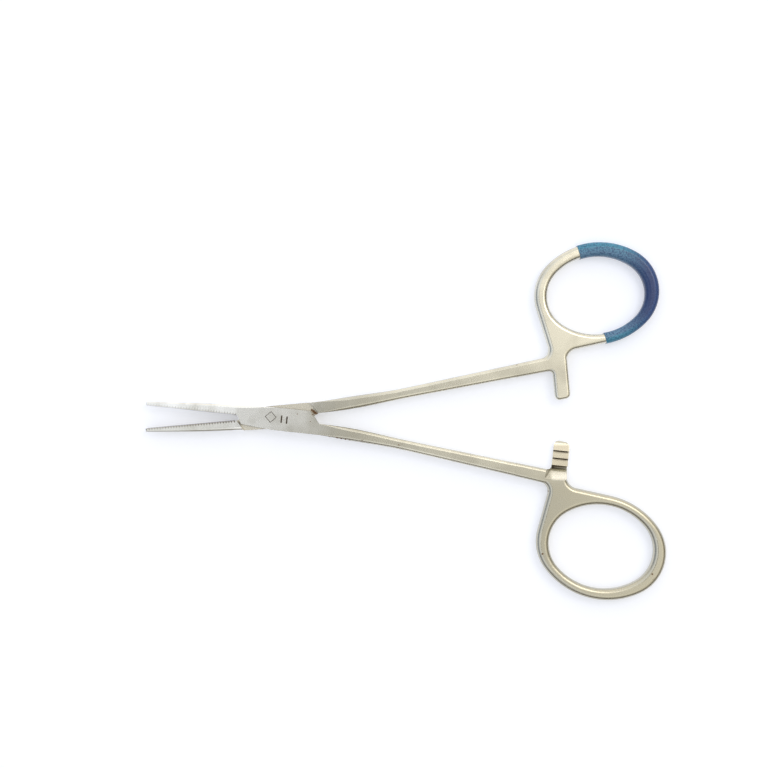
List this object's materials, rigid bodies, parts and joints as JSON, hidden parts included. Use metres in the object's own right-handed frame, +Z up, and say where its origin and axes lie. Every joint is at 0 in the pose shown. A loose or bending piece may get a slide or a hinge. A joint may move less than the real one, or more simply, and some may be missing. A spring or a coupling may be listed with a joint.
{
  "type": "hemostat forceps",
  "caption": "Straight locking forceps: slender serrated jaws, box lock, thin shanks, ratchet arms and two oval finger rings, one coated blue on its far end.",
  "frame": {"origin": "on the pivot axis, at the flat underside of the box that the forceps lies on", "axes": "+X along the line that halves the opening, towards the finger rings; +Y towards the ring with the coated end; +Z up, along the pivot axis"},
  "size_m": [0.1252, 0.086, 0.0042],
  "materials": {
    "steel": "satin",
    "coating": "gloss"
  },
  "bodies": {
    "box_half": {"box_arm": "steel", "pivot_pin": "steel"},
    "tongue_half": {"tongue_arm": "steel", "ring_coating": "coating"}
  },
  "joints": [
    {"name": "box_lock_hinge", "type": "hinge", "parent": "box_half", "child": "tongue_half", "pos_m": [0, 0, 0.0021], "axis": [0, 0, 1], "range_deg": [-11, 45]}
  ]
}
